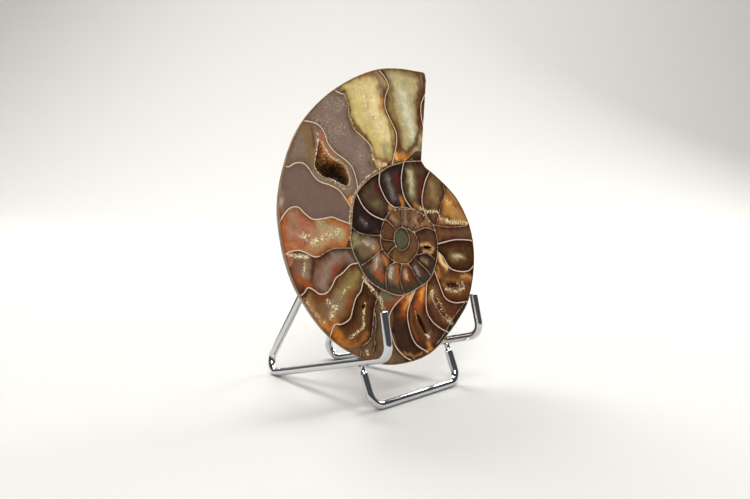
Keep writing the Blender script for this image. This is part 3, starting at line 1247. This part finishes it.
def bent_route(corners, radius, steps=14):
    """The corners' route, each inner corner rounded to the bend radius."""
    points = [corners[0]]
    for before, corner, after in zip(corners, corners[1:], corners[2:]):
        to_before = (before - corner).normalized()
        to_after = (after - corner).normalized()
        half = to_before.angle(to_after) / 2
        first = corner + to_before * radius / math.tan(half)
        last = corner + to_after * radius / math.tan(half)
        middle = corner + (to_before + to_after).normalized() * radius / math.sin(half)
        turn = (first - middle).rotation_difference(last - middle)
        for i in range(steps + 1):
            part = turn.slerp(turn.__class__(), 1 - i / steps)
            points.append(middle + part @ (first - middle))
    points.append(corners[-1])
    return points


def mirrored(half):
    """The corners of one side and their mirror image, in order along the wire."""
    left = [Vector((-x, y, z)) for x, y, z in half]
    return left + [Vector((-p.x, p.y, p.z)) for p in reversed(left)]


def easel_corners():
    """The long wire's corners, from the left prong round the back to the right prong."""
    return mirrored((PRONG, HOOK, REAR, REST))


def foot_top():
    """The end of a foot leg, below the arm, and the direction of the leg."""
    joint = Vector(REAR).lerp(Vector(HOOK), FOOT_AT)
    leg = (joint - Vector(FOOT)).normalized()
    return joint - leg * (WIRE / 2 + NECK_LENGTH), leg


def wire_piece(name, points, material):
    """A round wire with softly cut ends, as a mesh."""
    curve = bpy.data.curves.new(name, "CURVE")
    curve.dimensions = "3D"
    curve.bevel_depth = WIRE / 2 * MM
    curve.bevel_resolution = 10
    curve.use_fill_caps = True
    spline = curve.splines.new("POLY")
    first, last = points[0], points[-1]
    start = first + (points[1] - first).normalized() * CUT_LENGTH
    end = last + (points[-2] - last).normalized() * CUT_LENGTH
    route = [first, start] + points[1:-1] + [end, last]
    spline.points.add(len(route) - 1)
    for number, (point, spot) in enumerate(zip(spline.points, route)):
        point.co = (*(spot * MM), 1.0)
        point.radius = CUT_SHARE if number in (0, len(route) - 1) else 1.0
    body = bpy.data.objects.new(name, curve)
    bpy.context.scene.collection.objects.link(body)
    bpy.ops.object.select_all(action="DESELECT")
    body.select_set(True)
    bpy.context.view_layer.objects.active = body
    bpy.ops.object.convert(target="MESH")
    bpy.ops.object.shade_smooth_by_angle(angle=math.radians(40))
    body.data.materials.clear()
    body.data.materials.append(material)
    return body


def build_easel(settings):
    """The long bent wire, the front foot and the welds that join them."""
    place = easel_matrix()
    chrome = chrome_material(settings)
    long_wire = wire_piece("bent_wire", [place @ p for p in bent_route(easel_corners(), BEND)], chrome)
    top, leg = foot_top()
    foot_route = bent_route(mirrored(((top.x, top.y, top.z), FOOT)), BEND)
    foot = wire_piece("foot_wire", [place @ p for p in foot_route], chrome)
    welds = []
    for side in (-1, 1):
        along = Vector((side * leg.x, leg.y, leg.z))
        start = Vector((side * top.x, top.y, top.z)) - along * WELD_START
        welds.append(weld_piece(f"weld_{'left' if side < 0 else 'right'}", start, along, place, chrome))
    return long_wire, foot, welds


def weld_piece(name, start, along, place, material):
    """A narrow uneven neck of weld from a leg's end to the arm above."""
    side = along.orthogonal().normalized()
    other = along.cross(side)
    vertices, faces = [], []
    around = WELD_SIDES
    for height, radius in WELD:
        for k in range(around):
            angle = TURN * k / around
            spot = start + along * height
            bump = noise.noise(Vector((math.cos(angle) * 1.3, math.sin(angle) * 1.3, height)))
            wide = radius * (1 + 0.05 * bump)
            vertices.append(place @ (spot + (side * math.cos(angle) + other * math.sin(angle)) * wide))
    for ring in range(len(WELD) - 1):
        for k in range(around):
            a, b = ring * around + k, ring * around + (k + 1) % around
            faces.append((a, b, b + around, a + around))
    faces.append(tuple(reversed(range(around))))
    faces.append(tuple(range(len(vertices) - around, len(vertices))))
    body = new_object(name, vertices, faces, material)
    turn_outwards(body.data)
    return body


# Studio

def light(name, at, towards, size, power):
    """One soft square light."""
    lamp = bpy.data.lights.new(name, "AREA")
    lamp.shape = "SQUARE"
    lamp.size = size
    lamp.energy = power
    body = bpy.data.objects.new(name, lamp)
    body.location = at
    body.rotation_euler = (Vector(towards) - Vector(at)).to_track_quat("-Z", "Y").to_euler()
    bpy.context.scene.collection.objects.link(body)


def select_edges(body, wanted):
    """Selects the edges in edit mode whose middles are where they are wanted."""
    bpy.ops.mesh.select_all(action="DESELECT")
    bm = bmesh.from_edit_mesh(body.data)
    chosen = [edge for edge in bm.edges if wanted((edge.verts[0].co + edge.verts[1].co) / 2)]
    if not chosen:
        raise RuntimeError(f"{body.name} has no such edge")
    for edge in chosen:
        edge.select_set(True)
    bmesh.update_edit_mesh(body.data)


def build_cove(settings):
    """The pale floor, which bends up into a wall behind the object as the photograph's camera sees it."""
    # Matt paper, so it gives a soft shadow and no reflection.
    material, shader = new_material("Pale paper")
    shader.inputs["Base Color"].default_value = (*settings.paper, 1.0)
    shader.inputs["Roughness"].default_value = 0.8
    bpy.ops.object.select_all(action="DESELECT")
    bpy.ops.mesh.primitive_plane_add(size=FLOOR, location=(0, WALL_AT - FLOOR / 2, 0))
    floor = bpy.context.active_object
    floor.name = "floor"
    bpy.ops.object.transform_apply(location=True, rotation=False, scale=False)
    bpy.ops.object.mode_set(mode="EDIT")
    bpy.ops.mesh.select_mode(type="EDGE")
    select_edges(floor, lambda middle: middle.y > WALL_AT - 0.01)
    bpy.ops.mesh.extrude_region_move(TRANSFORM_OT_translate={"value": (0, 0, FLOOR / 2)})
    select_edges(floor, lambda middle: middle.y > WALL_AT - 0.01 and middle.z < 0.01)
    bpy.ops.mesh.bevel(offset=WALL_BEND, segments=16, affect="EDGES")
    bpy.ops.object.mode_set(mode="OBJECT")
    floor.rotation_euler.z = -CAMERA_TURN
    bpy.ops.object.transform_apply(location=False, rotation=True, scale=False)
    bpy.ops.object.shade_smooth()
    floor.data.materials.append(material)


def build_lights(settings):
    """Soft lights round the object, one on the wall behind it, and a little light from everywhere."""
    world = bpy.data.worlds.new("Studio")
    bpy.context.scene.world = world
    world.use_nodes = True
    background = world.node_tree.nodes["Background"]
    background.inputs["Color"].default_value = (*hex_colour("d8d8da"), 1.0)
    background.inputs["Strength"].default_value = settings.fill
    for name, (at, size, share) in LIGHTS.items():
        light(name, at, AIM, size, settings.key_watts * share)
    ahead = camera_axes()[2]
    away = Vector((ahead.x, ahead.y, 0.0)).normalized()
    above = away * 0.3 + Vector((0, 0, 1.3))
    light("backdrop", above, away * WALL_AT + Vector((0, 0, 0.3)), 0.6, settings.key_watts * BACKDROP_SHARE)


def place_camera():
    """The photograph's camera."""
    right, up, ahead = camera_axes()
    basis = Matrix((right, up, -ahead)).transposed().to_4x4()
    matrix = easel_matrix() @ Matrix.Translation(CAMERA_AT) @ basis
    camera = bpy.data.cameras.new("photograph")
    camera.sensor_width = 36.0
    camera.lens = FOCAL_PIXELS / PHOTO_SIZE[0] * camera.sensor_width
    camera.clip_start = 0.01
    body = bpy.data.objects.new("photograph", camera)
    matrix.translation = matrix.translation * MM
    body.matrix_world = matrix
    bpy.context.scene.collection.objects.link(body)
    bpy.context.scene.camera = body
    bpy.context.scene.view_settings.view_transform = "Standard"


# The add-on

class AmmoniteStoneSettings(PropertyGroup):
    """How the stone's face is made"""
    septum_mm: FloatProperty(
        name="Wall width", description="Width of a chamber wall, in millimetres", default=0.42, min=0.1)
    wall_colour: FloatVectorProperty(
        name="Wall colour", description="Colour of a chamber wall", default=hex_colour("d8c0a8"),
        subtype="COLOR", min=0.0, max=1.0)
    grain_mm: FloatProperty(
        name="Grain", description="Size of the calcite grains, in millimetres", default=0.42, min=0.1)
    facet_mm: FloatProperty(
        name="Facets", description="Size of the larger crystals, in millimetres", default=0.9, min=0.1)
    polish: FloatProperty(
        name="Polish", description="Roughness of the sawn face", default=0.1, min=0.0, max=1.0,
        subtype="FACTOR")
    mesh_mm: FloatProperty(
        name="Mesh step", description="Spacing of the face's points, in millimetres", default=0.5, min=0.2)


class AmmoniteEaselSettings(PropertyGroup):
    """How the easel's chrome looks"""
    chrome: FloatVectorProperty(
        name="Chrome", description="Colour of the chrome", default=hex_colour("d2d4d6"), subtype="COLOR",
        min=0.0, max=1.0)
    roughness: FloatProperty(
        name="Roughness", description="Roughness of the chrome", default=0.05, min=0.0, max=1.0,
        subtype="FACTOR")


class AmmoniteStudioSettings(PropertyGroup):
    """How the studio looks"""
    paper: FloatVectorProperty(
        name="Paper", description="Colour of the floor and the wall", default=hex_colour("b4b2ae"),
        subtype="COLOR", min=0.0, max=1.0)
    fill: FloatProperty(
        name="Fill", description="Strength of the light from all round", default=0.13, min=0.0)
    key_watts: FloatProperty(
        name="Key light", description="Power of the main light", default=13.2, min=0.0, unit="POWER")


class AMMONITE_OT_face(Operator):
    """Build the sawn and polished face"""
    bl_idname = "ammonite.face"
    bl_label = "Sawn face"

    def execute(self, context):
        ride(build_face(context.scene.ammonite_stone), "stone", "ammonite_half")
        return {"FINISHED"}


class AMMONITE_OT_back(Operator):
    """Build the back of the shell with its ribs and navel"""
    bl_idname = "ammonite.back"
    bl_label = "Shell back"

    def execute(self, context):
        ride(build_back(), "stone")
        return {"FINISHED"}


class AMMONITE_OT_hollows(Operator):
    """Build the open hollows and their crystals"""
    bl_idname = "ammonite.hollows"
    bl_label = "Hollows and crystals"

    def execute(self, context):
        material = crystal_material()
        for name, hollow in HOLLOWS.items():
            body = build_hollow(name, material)
            if hollow[2]:
                ride(body, "druse", name + "_crystals")
            else:
                ride(body, "stone")
        return {"FINISHED"}


class AMMONITE_OT_easel(Operator):
    """Build the chromed wire easel"""
    bl_idname = "ammonite.easel"
    bl_label = "Wire easel"

    def execute(self, context):
        long_wire, foot, welds = build_easel(context.scene.ammonite_easel)
        ride(long_wire, "chrome", "easel_wire")
        ride(foot, "chrome", "front_foot")
        for weld in welds:
            ride(weld, "chrome")
        return {"FINISHED"}


class AMMONITE_OT_studio(Operator):
    """Build the floor, the lights and the camera"""
    bl_idname = "ammonite.studio"
    bl_label = "Studio"

    def execute(self, context):
        build_cove(context.scene.ammonite_studio)
        build_lights(context.scene.ammonite_studio)
        place_camera()
        return {"FINISHED"}


class AMMONITE_PT_panel(Panel):
    """The add-on's panel in the sidebar"""
    bl_idname = "AMMONITE_PT_panel"
    bl_label = "Ammonite"
    bl_space_type = "VIEW_3D"
    bl_region_type = "UI"
    bl_category = "Ammonite"

    def draw(self, context):
        scene = context.scene
        for settings, operators in (
                (scene.ammonite_stone, ("face", "back", "hollows")),
                (scene.ammonite_easel, ("easel",)),
                (scene.ammonite_studio, ("studio",))):
            for name in type(settings).__annotations__:
                self.layout.prop(settings, name)
            for name in operators:
                self.layout.operator("ammonite." + name)


CLASSES = (
    AmmoniteStoneSettings, AmmoniteEaselSettings, AmmoniteStudioSettings, AMMONITE_OT_face, AMMONITE_OT_back,
    AMMONITE_OT_hollows, AMMONITE_OT_easel, AMMONITE_OT_studio, AMMONITE_PT_panel,
)


def register():
    """Adds the add-on's classes and settings to Blender."""
    for item in CLASSES:
        bpy.utils.register_class(item)
    bpy.types.Scene.ammonite_stone = PointerProperty(type=AmmoniteStoneSettings)
    bpy.types.Scene.ammonite_easel = PointerProperty(type=AmmoniteEaselSettings)
    bpy.types.Scene.ammonite_studio = PointerProperty(type=AmmoniteStudioSettings)


def unregister():
    """Takes the add-on's classes and settings out of Blender."""
    del bpy.types.Scene.ammonite_studio
    del bpy.types.Scene.ammonite_easel
    del bpy.types.Scene.ammonite_stone
    for item in reversed(CLASSES):
        bpy.utils.unregister_class(item)


def main():
    """Builds the whole scene in order and notes the sizes."""
    register()
    bpy.ops.ammonite.face()
    bpy.ops.ammonite.back()
    bpy.ops.ammonite.hollows()
    bpy.ops.ammonite.easel()
    bpy.ops.ammonite.studio()
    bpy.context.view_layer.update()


if __name__ == "__main__":
    main()
